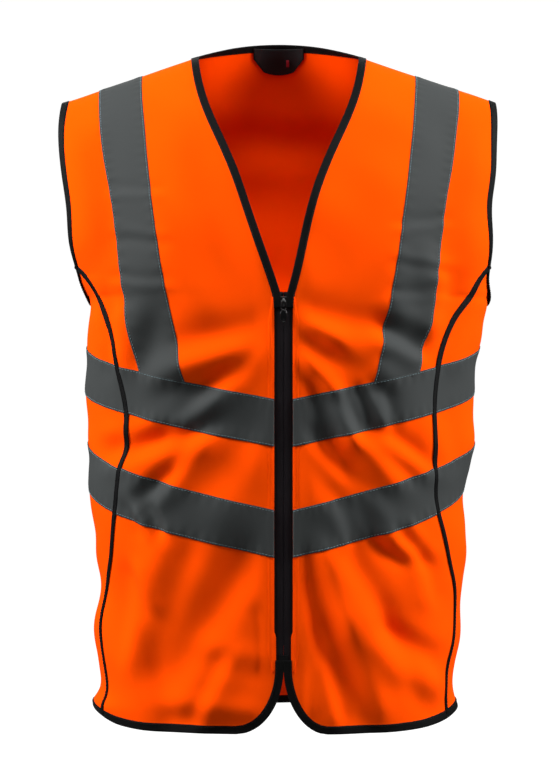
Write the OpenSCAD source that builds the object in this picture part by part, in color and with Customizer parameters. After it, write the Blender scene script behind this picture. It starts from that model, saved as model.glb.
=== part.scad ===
// High visibility vest: bound edges, piped side panels, sewn-on reflective tapes and a separating zip.
// Millimetres, +Z up, the front faces -Y. The origin is midway between the neck ends of the two
// shoulder seams. Left and right are the wearer's, so left is +X.

/* [Body] */
// Half width of the body at the armpits
chest_half_w = 213; // [205:1:222]
// Half depth of the body at its centre
half_depth = 135; // [120:1:145]
// Depth of the armpits, and of the point of the neck, below the shoulders
armpit_drop = 262; // [255:1:270]
// Length of the body from the armpits to the hem
body_len = 460; // [450:1:470]
// Height that the hem gains towards the sides
hem_side_rise = 15; // [0:1:18]
// How far the sides pull in above the hem
waist_pull = 9; // [0:1:12]

/* [Shoulders and neck] */
// Half width across the shoulder tips
tip_half_w = 237; // [236:1:250]
// Half width of the neck at the shoulder seams
neck_half_w = 95.7; // [92:0.1:100]
// Fall of the shoulder seam for each millimetre outwards
shoulder_slope = 0.34; // [0.28:0.01:0.4]
// How far the shell would rise inside the neck, were it not cut out there
neck_rise = 61; // [50:1:66]
// Height of the back neck edge at its centre
back_neck_h = 19; // [14:1:24]

/* [Trim] */
// Thickness of the shell fabric with its seams
panel_t = 1.2; // [0.8:0.1:1.4]
// Width of the reflective tape
tape_w = 50; // [45:1:52]
// Thickness of the reflective tape
tape_t = 0.6; // [0.4:0.1:0.8]
// Width of the folded binding
binding_w = 8; // [7:0.5:9]
// Thickness of the folded binding
binding_t = 2.4; // [2:0.1:2.6]
// Width of the seam piping
piping_w = 6; // [5:0.5:6]

/* [Zip] */
// Half width of the black zip between the fronts
zip_half_w = 9.75; // [9:0.05:10.5]
// Length of the zip tapes
zip_len = 388; // [380:1:388]
// Length of the pull tab from its pivot to its point
puller_len = 25; // [22:1:28]

/* [Hidden] */

$fn = 32;
eps = 0.01;
front = -1;
back = 1;

fabric_col = [1, 0.36, 0];
tape_col = [0.3, 0.33, 0.34];
black_col = [0.08, 0.08, 0.09];
metal_col = [0.12, 0.12, 0.13];
label_col = [0.14, 0.14, 0.15];

// Superellipse powers of the girth and of the arch over the shoulders
girth_n = 2.4;
arch_n = 1.9;
// The armhole: half its depth as a share of the body's, and where its round bottom ends on the arch
arm_open = 0.5;
arm_round = 0.35;
// How the sides narrow below the armpit, at the waist and towards the hips
armpit_flare = 5;
flare_len = 40;
waist_z = -590;
waist_spread = 60;
hip_pull = 5;
hip_top = -450;
hip_len = 120;

gap = 0.4;
hem_z = -(armpit_drop + body_len);
seam_v = 0.998;

// The rounded front corner of the hem: where its curve starts, and its half axes
corner_top = -(armpit_drop + zip_len + 2);
corner_w = 48;
corner_h = corner_top - hem_z;

// Piping: x where it runs straight, its drift towards the hem, and its sweep up to the armhole
piping_x = 161.5;
piping_drift = 26;
piping_sweep = 56.5;
sweep_top = -233;
sweep_len = 52;
drift_top = -370;
drift_len = 270;
piping_top_v = 0.085;

// Tapes: height of the top edge at centre front, and what it gains towards the sides
upper_tape_z = -373.5;
upper_tape_rise = 60;
lower_tape_z = -490;
lower_tape_rise = 72;
shoulder_tape_x = 172.75;
shoulder_tape_in = 33;

function clamp01(t) = min(1, max(0, t));
function smooth(t) = let(c = clamp01(t)) c*c*(3 - 2*c);
function mix(a, b, t) = a + (b - a)*t;
function steps(n, a = 0, b = 1) = [for (i = [0:n]) mix(a, b, i/n)];
function unit(v) = v/norm(v);
function reversed(list) = [for (i = [len(list) - 1:-1:0]) list[i]];
function flipped(p) = [[-p[0].x, p[0].y, p[0].z], [-p[1].x, p[1].y, p[1].z]];
// A path for the left half, carried on as its mirror image; the last point is on the centre line.
function both_halves(half) = concat(
    [for (i = [0:len(half) - 2]) flipped(half[i])],
    reversed(half));

// The garment's surface. v is -1 at the hem, 0 at the armpits and 1 at the shoulder seam; girths are
// superellipses, and above the armpits each slice at constant x arches over to the other side.
function rise(v) = pow(sin(90*v), 2/arch_n);
function reach(v) = pow(cos(90*v), 2/arch_n);
function half_w(z) = chest_half_w - armpit_flare*(1 - exp((z + armpit_drop)/flare_len))
    - waist_pull*exp(-pow((z - waist_z)/waist_spread, 2)) - hip_pull*smooth((hip_top - z)/hip_len);
function ridge_z(x) = let(r = abs(x)/neck_half_w)
    r >= 1 ? shoulder_slope*neck_half_w*(1 - r)
    : shoulder_slope*neck_half_w*(1 - r*r)/2 + neck_rise*pow(1 - r*r, 2);
function arm_gap(v) = arm_open*sqrt(1 - pow(1 - clamp01(v/arm_round), 2));
function edge_x(v) = v <= 0 ? half_w(v*body_len - armpit_drop)
    : mix(chest_half_w, tip_half_w, sin(90*pow(rise(v), 0.7)));
function span(v) = v <= 0 ? edge_x(v) : edge_x(v)/pow(1 - pow(arm_gap(v), girth_n), 1/girth_n);
function depth_share(x, v) = pow(max(0, 1 - pow(abs(x)/span(v), girth_n)), 1/girth_n);
function surf(x, v, side) = [x,
    side*half_depth*depth_share(x, v)*(v <= 0 ? 1 : reach(v)),
    v <= 0 ? v*body_len - armpit_drop : (ridge_z(x) + armpit_drop)*rise(v) - armpit_drop];
// Outward normal of that surface
function outward(x, v, side) = let(
    s = v <= 0 ? 0 : sin(90*v),
    c = v <= 0 ? 1 : cos(90*v),
    a = span(v),
    r = min(1, abs(x)/a),
    tn = 1 - pow(r, girth_n),
    h = ridge_z(x) + armpit_drop,
    e = 2*(arch_n - 1)/arch_n)
    unit([sign(x)*(pow(r, girth_n - 1)/a*c*c + tn*s*s*shoulder_slope/h),
        side*pow(c, e)*pow(depth_share(x, v), girth_n - 1)/half_depth,
        pow(s, e)*tn/h]);
function on(x, v, side) = [surf(x, v, side), outward(x, v, side)];
function v_of(z) = z <= -armpit_drop ? (z + armpit_drop)/body_len
    : asin(pow((z + armpit_drop)/(ridge_z(tip_half_w) + armpit_drop), arch_n/2))/90;
function z_of(v) = surf(edge_x(v), v, front).z;
// Share of the way round from centre to side, and back to x
function girth_u(x, z) = asin(pow(min(1, abs(x)/half_w(z)), girth_n/2))/90;
function girth_x(u, z) = half_w(z)*pow(sin(90*u), 2/girth_n);
// The surface at a given depth y and height z, for the sides
function at_side(y, z) = let(v = v_of(z), c = v <= 0 ? 1 : reach(v))
    on(span(v)*pow(1 - pow(abs(y)/(half_depth*c), girth_n), 1/girth_n), v, y < 0 ? front : back);
// Fall of the surface towards the side, as the tangent of its angle
function side_fall(x, v) = let(r = min(0.999, abs(x)/span(v)))
    half_depth*(v <= 0 ? 1 : reach(v))/span(v)*pow(r/pow(1 - pow(r, girth_n), 1/girth_n), girth_n - 1);
function run_x(x, v) = 1/sqrt(1 + pow(side_fall(x, v), 2));

// Lines that the pieces share
function neck_x(v) = v <= 0 ? zip_half_w : let(q = rise(v))
    mix(zip_half_w, neck_half_w, q + 0.095*sin(180*q*q));
function back_neck(x) = let(
    z = back_neck_h*max(0, 1 - pow(x/neck_half_w, 2)),
    share = (z + armpit_drop)/(ridge_z(x) + armpit_drop))
    min(seam_v, asin(pow(min(1, share), arch_n/2))/90);
function piping_line(z) = piping_x + piping_drift*smooth((drift_top - z)/drift_len)
    + piping_sweep*exp((z - sweep_top)/sweep_len);
function piping_gap(z) = let(x = piping_line(z), dx = piping_line(z + 1) - x)
    (piping_w/2 + 2.5*gap)*sqrt(pow(run_x(x, v_of(z)), 2) + dx*dx);
function armhole_x(v) = edge_x(v) - (binding_w + 3*gap)*run_x(edge_x(v), v);
function hem_line(u) = hem_z + hem_side_rise*pow(sin(90*u), 6);
// Bottom edge of a panel at x, inside the hem binding
function panel_foot(x, side) = let(w = corner_w - binding_w - gap, h = corner_h - binding_w - gap)
    side == front && abs(x) < corner_w ? corner_top - h*sqrt(1 - pow((corner_w - abs(x))/w, 2))
    : hem_line(girth_u(x, hem_z + 20)) + binding_w + gap;
function shoulder_x(v) = shoulder_tape_x - shoulder_tape_in*pow(1 - v, 2.3);
function tape_top(z0, gain, u) = z0 + gain*pow(u, 0.85);

// A sheet between two offsets from a grid of [point, normal] pairs; a ring when closed
module sheet(grid, lo, hi, closed = false) {
    rows = len(grid);
    cols = len(grid[0]);
    count = rows*cols;
    points = [for (k = [lo, hi], row = grid, p = row) p[0] + k*p[1]];
    mid = grid[floor(rows/2)];
    next = grid[floor(rows/2) - 1];
    turned = cross(mid[1][0] - mid[0][0], mid[0][0] - next[0][0])*mid[0][1] > 0;
    last = closed ? rows - 1 : rows - 2;
    skin = [for (i = [0:last], j = [0:cols - 2])
        [i*cols + j, i*cols + j + 1, (i + 1)%rows*cols + j + 1, (i + 1)%rows*cols + j]];
    lower = [for (f = skin) [f[0], f[3], f[2], f[1]]];
    upper = [for (f = skin) [for (p = f) p + count]];
    long_rims = [for (i = [0:last]) let(a = i*cols, d = (i + 1)%rows*cols) each [
        [a + count, d + count, d, a],
        [d + cols - 1 + count, a + cols - 1 + count, a + cols - 1, d + cols - 1]]];
    end_rims = closed ? [] : [for (j = [0:cols - 2]) let(a = j, d = (rows - 1)*cols + j) each [
        [a + 1 + count, a + count, a, a + 1],
        [d + count, d + 1 + count, d + 1, d]]];
    quads = concat(upper, lower, long_rims, end_rims);
    polyhedron(points, [for (q = quads, t = [[q[0], q[1], q[2]], [q[0], q[2], q[3]]])
        turned ? reversed(t) : t]);
}
// Two columns of points beside a path, w0 and w1 away from it along the cloth
function ribbon(path, w0, w1, closed = false) = let(n = len(path)) [for (i = [0:n - 1]) let(
    a = path[closed ? (i + n - 1)%n : max(0, i - 1)][0],
    b = path[closed ? (i + 1)%n : min(n - 1, i + 1)][0],
    d = unit(cross(path[i][1], b - a)),
    p = path[i])
    [for (w = [w0, w1]) [p[0] + w*d, p[1]]]];

module panel(grid) { color(fabric_col) sheet(grid, -panel_t/2, panel_t/2); }
module tape(grid) { color(tape_col) sheet(grid, panel_t/2 + gap, panel_t/2 + gap + tape_t); }
module bound(path, width, closed = false) {
    color(black_col) sheet(ribbon(path, 0, width, closed), -binding_t/2, binding_t/2, closed);
}
module right() { mirror([1, 0, 0]) children(); }

// Shell panels
function front_outer(v) = v > piping_top_v ? armhole_x(v)
    : let(z = z_of(v)) min(armhole_x(max(v, 0.02)), piping_line(z) - piping_gap(z));
function front_row(v) = [for (t = steps(14)) let(
    w = pow(t, 1.5),
    foot = (panel_foot(mix(zip_half_w + gap, piping_line(hem_z), w), front) + armpit_drop)/body_len,
    vv = v > 0 ? v : -foot*v)
    on(mix(neck_x(vv) + gap, front_outer(vv), w), vv, front)];
module front_panel_left() {
    panel([for (v = concat(steps(18, -1, 0), [0.04, piping_top_v], steps(15, piping_top_v + 0.003, seam_v)))
        front_row(v)]);
}
module front_panel_right() { right() front_panel_left(); }

function armhole_path() = [for (t = concat(steps(22, 1, 0), [for (i = [1:21]) -i/22])) let(
    v = pow(abs(t), 1.5))
    on(edge_x(v), v, t > 0 ? front : back)];
side_rim_v = 0.095;
function side_rim() = let(
    line = [for (t = steps(16, 1, -1)) let(v = side_rim_v*pow(abs(t), 1.3))
        on(edge_x(v), v, t > 0 ? front : back)])
    [for (row = ribbon(line, 0, -binding_w - gap)) row[1][0]];
function side_row(rim, s) = [for (j = [0:len(rim) - 1]) let(
    w = abs(1 - 2*j/(len(rim) - 1)),
    u_end = girth_u(piping_line(hem_z), hem_z),
    z = mix(rim[j].z, hem_line(mix(1, u_end, w)) + binding_w + gap, s),
    z_end = mix(rim[0].z, hem_line(u_end) + binding_w + gap, s),
    y_end = abs(surf(piping_line(z_end) + piping_gap(z_end), v_of(z_end), front).y))
    at_side(rim[j].y/abs(rim[0].y)*y_end, z)];
module side_panel_left() {
    rim = side_rim();
    panel([for (s = steps(22)) side_row(rim, s)]);
}
module side_panel_right() { right() side_panel_left(); }

function back_row(r) = [for (w = steps(24, -1, 1)) let(
    x_top = abs(w)*armhole_x(seam_v),
    v_top = x_top < neck_half_w + gap ? back_neck(x_top) - gap/200 : seam_v,
    foot = (panel_foot(abs(w)*front_outer(-1), back) + armpit_drop)/body_len,
    v = r > 0 ? r*v_top : -foot*r)
    on(w*front_outer(v), v, back)];
module back_panel() {
    panel([for (r = concat(steps(18, -1, 0), [0.045, piping_top_v], steps(13, piping_top_v + 0.003, 1)))
        back_row(r)]);
}

// Reflective tapes
function band(z0, gain, x0, w, k, side) = let(
    z_mid = tape_top(z0, gain, 0.5) - tape_w/2,
    x_try = mix(x0, piping_line(z_mid), w),
    z = tape_top(z0, gain, girth_u(x_try, z_mid)) - tape_w*k,
    x = mix(x0, piping_line(z) - piping_gap(z), w))
    on(x, v_of(z), side);
module front_tape(z0, gain) {
    tape([for (k = [0, 0.5, 1]) [for (w = steps(11)) band(z0, gain, zip_half_w + gap, w, k, front)]]);
}
module back_tape(z0, gain) {
    tape([for (k = [0, 0.5, 1]) [for (w = steps(20, -1, 1)) let(p = band(z0, gain, 0, abs(w), k, back))
        w < 0 ? flipped(p) : p]]);
}
module side_tape(z0, gain) {
    tape([for (k = [0, 0.5, 1]) [for (w = steps(12, -1, 1)) let(
        z_end = tape_top(z0, gain, 0.6) - tape_w*k,
        u_end = girth_u(piping_line(z_end) + piping_gap(z_end), z_end),
        u = mix(1, u_end, abs(w)),
        z = tape_top(z0, gain, u) - tape_w*k)
        on(girth_x(u, z), v_of(z), w < 0 ? front : back)]]);
}
module upper_tape_front_left() { front_tape(upper_tape_z, upper_tape_rise); }
module upper_tape_front_right() { right() upper_tape_front_left(); }
module upper_tape_side_left() { side_tape(upper_tape_z, upper_tape_rise); }
module upper_tape_side_right() { right() upper_tape_side_left(); }
module upper_tape_back() { back_tape(upper_tape_z, upper_tape_rise); }
module lower_tape_front_left() { front_tape(lower_tape_z, lower_tape_rise); }
module lower_tape_front_right() { right() lower_tape_front_left(); }
module lower_tape_side_left() { side_tape(lower_tape_z, lower_tape_rise); }
module lower_tape_side_right() { right() lower_tape_side_left(); }
module lower_tape_back() { back_tape(lower_tape_z, lower_tape_rise); }

// One shoulder tape, from the upper tape in front over the seam to the upper tape behind
function shoulder_point(t, w) = let(
    side = t < 0 ? front : back,
    x_low = shoulder_x(-0.2) + w*tape_w/2*run_x(shoulder_x(-0.2), -0.2),
    z_low = tape_top(upper_tape_z, upper_tape_rise, girth_u(x_low, upper_tape_z)) + gap,
    v_low = (z_low + armpit_drop)/body_len,
    v = mix(1, v_low, abs(t)),
    tilt = v <= 0 ? 0 : shoulder_slope*rise(v))
    on(shoulder_x(v) + w*tape_w/2/sqrt(pow(1/run_x(shoulder_x(v), v), 2) + tilt*tilt), v, side);
module shoulder_tape_left() {
    tape([for (t = steps(44, -1, 1)) [for (w = steps(4, -1, 1)) shoulder_point(t, w)]]);
}
module shoulder_tape_right() { right() shoulder_tape_left(); }

// Binding and piping
function neck_half() = concat(
    [for (v = steps(20, 0, seam_v)) on(neck_x(v), v, front)],
    [for (x = steps(14, neck_half_w - 6, 0)) on(x, back_neck(x), back)]);
module neck_binding() { bound(both_halves(neck_half()), -binding_w - gap); }
module armhole_binding_left() { bound(armhole_path(), -binding_w, true); }
module armhole_binding_right() { right() armhole_binding_left(); }

function hem_half() = concat(
    [for (a = steps(10, 0, 80)) let(z = corner_top - corner_h*sin(a))
        on(corner_w + 0.5 - corner_w*cos(a), v_of(z), front)],
    [for (u = steps(16, girth_u(corner_w, hem_z), 1)) on(girth_x(u, hem_line(u)), v_of(hem_line(u)), front)],
    [for (u = steps(16, 0.96, 0)) on(girth_x(u, hem_line(u)), v_of(hem_line(u)), back)]);
module hem_binding() { bound(both_halves(hem_half()), -binding_w); }

module piping(side) {
    top = z_of(piping_top_v) - piping_w/2 - gap;
    foot = hem_line(girth_u(piping_line(hem_z), hem_z)) + binding_w + gap;
    line = [for (t = steps(30)) let(z = mix(top, foot, t)) on(piping_line(z), v_of(z), side)];
    color(black_col) sheet(ribbon(line, -piping_w/2, piping_w/2), -binding_t/2, binding_t/2 + 0.2);
}
module front_piping_left() { piping(front); }
module front_piping_right() { right() front_piping_left(); }
module back_piping_left() { piping(back); }
module back_piping_right() { right() back_piping_left(); }

// Zip, seen from the front: tapes behind the panels' edges, teeth behind the tapes
zip_top = -armpit_drop - 0.6;
zip_foot = zip_top - zip_len;
zip_tape_y = -half_depth + 1.5;
zip_tape_t = 0.8;
zip_tape_w = 15.3;
coil_in = 0.7;
coil_w = 2;
coil_y = zip_tape_y + zip_tape_t/2 + 0.1;
coil_t = 1.8;
pin_len = 22;
stop_h = 1.7;
film_t = 0.15;
box_h = 12;
box_w = 4.6;
plate_t = 1.3;
slider_top = zip_top - stop_h - 0.3;
slider_h = 14;
slider_w = 5.2;
slider_foot_w = 4.1;
slot_clear = 0.35;
post_w = 0.4;
pivot_y = zip_tape_y - 4.4;
pivot_z = slider_top - 4.5;
pivot_r = 0.75;
crown_w = 1.1;
arm_in = 1.6;
arm_w = 1.3;
tab_t = 1.5;

front_plate_y = zip_tape_y - zip_tape_t/2 - slot_clear - plate_t;
back_plate_y = coil_y + coil_t + slot_clear;

module zip_tape_left() {
    color(black_col) translate([coil_in, zip_tape_y - zip_tape_t/2, zip_foot])
        cube([zip_tape_w, zip_tape_t, zip_len]);
}
module zip_tape_right() { right() zip_tape_left(); }
module zip_coil_left() {
    low = zip_foot + pin_len;
    color(black_col) translate([coil_in, coil_y, low]) cube([coil_w, coil_t, zip_top - stop_h - 0.3 - low]);
}
module zip_coil_right() { right() zip_coil_left(); }
module top_stop_left() {
    color(metal_col) translate([0, 0, zip_top - stop_h]) difference() {
        translate([coil_in - 0.4, zip_tape_y - 1.3, 0]) cube([3.2, 2.6, stop_h]);
        translate([coil_in - 0.1, zip_tape_y - zip_tape_t/2 - 0.1, -1])
            cube([zip_tape_w, zip_tape_t + 0.2, stop_h + 2]);
    }
}
module top_stop_right() { right() top_stop_left(); }
module pin() { color(metal_col) translate([coil_in, coil_y, zip_foot]) cube([coil_w, coil_t, pin_len - 0.3]); }
module insertion_pin() { pin(); }
module box_pin() { right() pin(); }
module retainer_box() {
    color(metal_col) difference() {
        translate([-box_w, front_plate_y, zip_foot - 0.9])
            cube([2*box_w, back_plate_y + plate_t - front_plate_y, box_h]);
        for (side = [-1, 1])
            translate([side < 0 ? -box_w - 1 : coil_in - 0.3, zip_tape_y - zip_tape_t/2 - 0.2, zip_foot - 0.1])
                cube([box_w + 1.3 - coil_in, zip_tape_t + 0.4, box_h + 1]);
        for (side = [-1, 1])
            translate([side < 0 ? -coil_in - coil_w - 0.3 : coil_in - 0.3, coil_y - 0.2, zip_foot - 0.1])
                cube([coil_w + 0.6, coil_t + 0.4, box_h + 1]);
    }
}
module end_film_left() {
    color([0.6, 0.62, 0.64]) translate([box_w + 0.5, zip_tape_y - zip_tape_t/2 - film_t - 0.05, zip_foot])
        cube([zip_tape_w + coil_in - box_w - 0.5, film_t, box_h + 2]);
}
module end_film_right() { right() end_film_left(); }

// Slider: two plates joined by the post between the tapes, with flanges round the teeth
module slider_plate(y) {
    translate([0, y + plate_t, 0]) rotate([90, 0, 0]) linear_extrude(plate_t) polygon([
        [-slider_w + 1.2, 0], [-slider_w, -1.5], [-slider_w, -4], [-slider_foot_w, -8],
        [-slider_foot_w, -slider_h + 0.8], [-slider_foot_w + 0.8, -slider_h],
        [slider_foot_w - 0.8, -slider_h], [slider_foot_w, -slider_h + 0.8], [slider_foot_w, -8],
        [slider_w, -4], [slider_w, -1.5], [slider_w - 1.2, 0]]);
}
module slider_body() {
    flange_y = zip_tape_y + zip_tape_t/2 + slot_clear;
    color(metal_col) translate([0, 0, slider_top]) {
        slider_plate(front_plate_y);
        slider_plate(back_plate_y);
        translate([-post_w, front_plate_y, -4]) cube([2*post_w, back_plate_y + plate_t - front_plate_y, 4]);
        for (side = [-1, 1])
            translate([side*(slider_foot_w - 0.4) - 0.4, flange_y, -slider_h + 0.8])
                cube([0.8, back_plate_y + 0.1 - flange_y, slider_h - 2.4]);
    }
}
module slider_crown() {
    color(metal_col) difference() {
        translate([crown_w, 0, 0]) rotate([0, -90, 0]) linear_extrude(2*crown_w) polygon([
            [slider_top - 1, front_plate_y - eps], [slider_top - 1.6, pivot_y - 0.4],
            [slider_top - 2.6, pivot_y - 1.7], [pivot_z - 1.8, pivot_y - 1.9],
            [pivot_z - 5.2, pivot_y - 0.6], [pivot_z - 7.5, front_plate_y - eps]]);
        translate([-5, pivot_y, pivot_z]) rotate([0, 90, 0]) cylinder(r = pivot_r + 0.3, h = 10);
    }
}
module puller() {
    arm_x = arm_in + arm_w;
    hole_z = -puller_len + 4;
    color(metal_col) translate([0, pivot_y, pivot_z]) {
        translate([-arm_x, 0, 0]) rotate([0, 90, 0]) cylinder(r = pivot_r, h = 2*arm_x);
        for (side = [-1, 1])
            translate([side*(arm_in + arm_w/2) - arm_w/2, -tab_t/2, -9.6]) cube([arm_w, tab_t, 9.6]);
        difference() {
            translate([0, tab_t/2, 0]) rotate([90, 0, 0]) linear_extrude(tab_t) polygon([
                [-arm_x, -9.5], [-3.8, -12], [-3.8, -puller_len + 5], [-1.6, -puller_len],
                [1.6, -puller_len], [3.8, -puller_len + 5], [3.8, -12], [arm_x, -9.5]]);
            translate([0, tab_t, hole_z]) rotate([90, 0, 0]) cylinder(r = 1.1, h = 2*tab_t);
        }
    }
}

// Labels: inside the back neck, and inside the left side seam
label_half_w = 27.5;
label_foot_w = 17;
label_v = 0.062;
function label_edge(t) = mix(label_half_w, label_foot_w, clamp01((t - 0.35)/0.6));
module neck_label() {
    color(label_col) sheet([for (t = steps(8)) [for (w = steps(6, -1, 1))
        on(w*label_edge(t), back_neck(0) - 0.006 - label_v*t, back)]], -2.2, -1.4);
}
module size_tab() {
    color([0.8, 0.15, 0.2]) sheet([for (t = [0, 0.5, 1]) [for (x = [9, 12])
        on(x, back_neck(0) - 0.04 - 0.02*t, back)]], -3.1, -2.6);
}
module care_label() {
    color("white") sheet([for (z = steps(4, -560, -615)) [for (y = steps(3, 12, 42)) at_side(y, z)]],
        -2.4, -1.8);
}

front_panel_left();
front_panel_right();
side_panel_left();
side_panel_right();
back_panel();
shoulder_tape_left();
shoulder_tape_right();
upper_tape_front_left();
upper_tape_front_right();
upper_tape_side_left();
upper_tape_side_right();
upper_tape_back();
lower_tape_front_left();
lower_tape_front_right();
lower_tape_side_left();
lower_tape_side_right();
lower_tape_back();
neck_binding();
armhole_binding_left();
armhole_binding_right();
hem_binding();
front_piping_left();
front_piping_right();
back_piping_left();
back_piping_right();
zip_tape_left();
zip_tape_right();
zip_coil_left();
zip_coil_right();
top_stop_left();
top_stop_right();
insertion_pin();
box_pin();
retainer_box();
end_film_left();
end_film_right();
slider_body();
slider_crown();
puller();
neck_label();
size_tab();
care_label();
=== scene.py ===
"""High visibility vest: cloth, tapes, bindings, stitching and zip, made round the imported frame.

Shapes are worked out in millimetres on the same surface as the frame's own panels, and become metres
in the mesh makers. The front faces -Y, and left and right are the wearer's, so left is +X.
"""

import bpy
import numpy as np
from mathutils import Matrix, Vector


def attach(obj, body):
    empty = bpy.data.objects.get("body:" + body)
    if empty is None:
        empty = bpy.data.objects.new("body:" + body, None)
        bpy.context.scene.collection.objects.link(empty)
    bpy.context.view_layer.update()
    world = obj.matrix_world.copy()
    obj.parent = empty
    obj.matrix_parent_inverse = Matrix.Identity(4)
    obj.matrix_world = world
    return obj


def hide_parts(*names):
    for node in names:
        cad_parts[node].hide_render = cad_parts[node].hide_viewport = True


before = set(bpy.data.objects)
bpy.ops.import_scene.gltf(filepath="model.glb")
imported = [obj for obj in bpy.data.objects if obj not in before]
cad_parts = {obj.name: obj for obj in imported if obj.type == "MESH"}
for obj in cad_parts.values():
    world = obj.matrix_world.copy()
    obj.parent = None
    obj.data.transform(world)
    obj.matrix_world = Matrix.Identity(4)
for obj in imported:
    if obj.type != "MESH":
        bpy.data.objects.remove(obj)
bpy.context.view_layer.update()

MM = 0.001
FRONT, BACK = -1.0, 1.0
LEFT, RIGHT = 1.0, -1.0
SIDES = (("left", LEFT), ("right", RIGHT))

# ---- camera

CAMERA_Z = -0.364
CAMERA_X = -0.0043
CAMERA_AWAY = 2.6
CENTRE_FRONT_Y = -0.135
VIEW_HEIGHT = 0.818
SENSOR = 36.0
CLIP_END = 60.0


def make_camera():
    """A level camera straight in front, whose picture is VIEW_HEIGHT tall at the zip."""
    data = bpy.data.cameras.new("camera")
    data.sensor_width = SENSOR
    data.lens = SENSOR * CAMERA_AWAY / VIEW_HEIGHT
    data.clip_end = CLIP_END
    camera = bpy.data.objects.new("camera", data)
    camera.location = (CAMERA_X, CENTRE_FRONT_Y - CAMERA_AWAY, CAMERA_Z)
    camera.rotation_euler = (np.pi / 2, 0, 0)
    bpy.context.collection.objects.link(camera)
    bpy.context.scene.camera = camera


make_camera()

# ---- the garment's surface, in mm

CHEST_HALF_W = 213.0
HALF_DEPTH = 135.0
ARMPIT_DROP = 262.0
BODY_LEN = 460.0
HEM_SIDE_RISE = 15.0
ARMPIT_FLARE, ARMPIT_FADE = 5.0, 40.0
WAIST_PULL, WAIST_Z, WAIST_SPREAD = 9.0, -590.0, 60.0
HIP_PULL, HIP_TOP, HIP_RUN = 5.0, -450.0, 120.0
TIP_HALF_W = 237.0
NECK_HALF_W = 95.7
SHOULDER_SLOPE = 0.34
NECK_RISE = 61.0
BACK_NECK_H = 19.0
TAPE_W = 50.0
BINDING_W = 8.0
PIPING_W = 6.0
ZIP_HALF_W = 9.75
ZIP_LEN = 388.0
GIRTH_N = 2.4
ARCH_N = 1.9
ARM_OPEN = 0.5
ARM_ROUND = 0.35
HEM_Z = -(ARMPIT_DROP + BODY_LEN)
CORNER_TOP = -(ARMPIT_DROP + ZIP_LEN + 2)
CORNER_W = 48.0
CORNER_H = CORNER_TOP - HEM_Z
PIPING_TOP_V = 0.085
PIPING_X, PIPING_DRIFT, PIPING_SWEEP = 161.5, 26.0, 56.5


def smooth(t):
    """Smoothstep: 3t^2 - 2t^3 with t held between 0 and 1."""
    t = np.clip(t, 0, 1)
    return t * t * (3 - 2 * t)


def bell(t):
    """A bell curve, e to the power of minus t squared."""
    return np.exp(-t * t)


def mix(a, b, t):
    """Straight line from a to b."""
    return a + (b - a) * t


def unit(v):
    """Vectors at length 1."""
    return v / np.maximum(np.linalg.norm(v, axis=-1, keepdims=True), 1e-12)


def power(value, n):
    """The size of a number to the power n, with its sign kept."""
    return np.sign(value) * np.abs(value) ** n


def xyz(x, y, z):
    """Points from x, y and z, each spread over the same grid."""
    return np.stack(np.broadcast_arrays(x, y, z), -1)


def angles(count):
    """Evenly spaced angles round a full turn."""
    return np.linspace(0, 2 * np.pi, count, endpoint=False)


def rise(v):
    """Share of the arch's height at v: sine to the power of 2/n."""
    return np.sin(np.pi / 2 * np.clip(v, 0, 1)) ** (2 / ARCH_N)


def reach(v):
    """Share of the body's depth at v: cosine to the power of 2/n, and 1 below the armpits."""
    return np.cos(np.pi / 2 * np.clip(v, 0, 1)) ** (2 / ARCH_N)


def half_w(z):
    """Half width of the body: the chest, less a flare at the armpits, a bell at the waist, and the hips."""
    return (
        CHEST_HALF_W
        - ARMPIT_FLARE * (1 - np.exp(np.minimum(z + ARMPIT_DROP, 0) / ARMPIT_FADE))
        - WAIST_PULL * bell((z - WAIST_Z) / WAIST_SPREAD)
        - HIP_PULL * smooth((HIP_TOP - z) / HIP_RUN)
    )


def ridge_z(x):
    """Height of the shoulder ridge: a slope outside the neck, a rounded rise inside it."""
    r = np.abs(x) / NECK_HALF_W
    drop = SHOULDER_SLOPE * NECK_HALF_W
    inside = np.clip(1 - r * r, 0, 1)
    return np.where(r >= 1, drop * (1 - r), drop * inside / 2 + NECK_RISE * inside**2)


def arm_gap(v):
    """Half depth of the armhole as a share of the body's: a quarter circle, then straight."""
    return ARM_OPEN * np.sqrt(1 - (1 - np.clip(v / ARM_ROUND, 0, 1)) ** 2)


def edge_x(v):
    """x of the body's side below the armpits, and of the armhole edge above them."""
    arm = mix(CHEST_HALF_W, TIP_HALF_W, np.sin(np.pi / 2 * rise(v) ** 0.7))
    return np.where(v <= 0, half_w(np.minimum(v, 0) * BODY_LEN - ARMPIT_DROP), arm)


def span(v):
    """Half width of the whole superellipse that the armhole cuts short."""
    return edge_x(v) / (1 - arm_gap(v) ** GIRTH_N) ** (1 / GIRTH_N)


def depth_share(x, v):
    """How far a point stands from the mid plane: the superellipse (1 - r^n)^(1/n)."""
    return np.maximum(0, 1 - (np.abs(x) / span(v)) ** GIRTH_N) ** (1 / GIRTH_N)


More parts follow.
